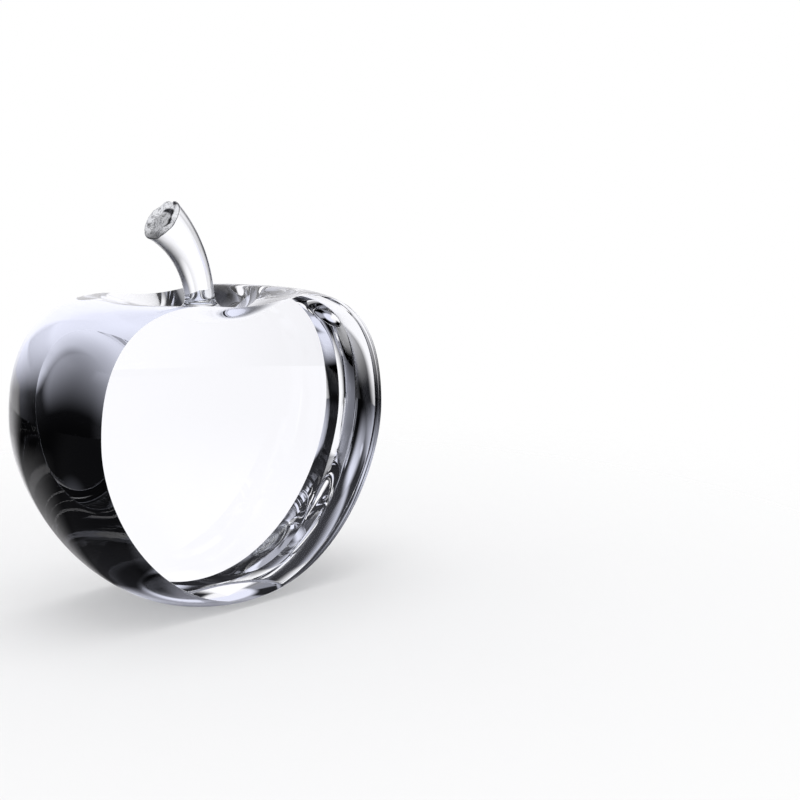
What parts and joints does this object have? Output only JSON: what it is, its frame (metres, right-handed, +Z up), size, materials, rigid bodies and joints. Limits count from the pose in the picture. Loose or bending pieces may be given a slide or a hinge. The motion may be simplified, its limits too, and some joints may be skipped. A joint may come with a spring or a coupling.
{
  "type": "glass apple ornament",
  "caption": "Solid clear glass apple ground flat front and back, with a dimple on top, a flat base and a bent flared glass stem bonded into it; a desk ornament, paperweight or award blank.",
  "frame": {"origin": "middle of the flat base, on the axis the body was turned about", "axes": "+Z up along that axis, +X to the right across the flat faces, the front face looks along -Y, and the stem bends over towards -X"},
  "size_m": [0.09, 0.038, 0.094],
  "materials": {
    "clear_glass": "polished, water clear",
    "stem_glass": "fire polished shaft, chipped cut end",
    "clear_adhesive": "cured clear adhesive"
  },
  "bodies": {
    "root": {"apple_body": "clear_glass", "stem": "stem_glass", "bond": "clear_adhesive"}
  },
  "joints": []
}
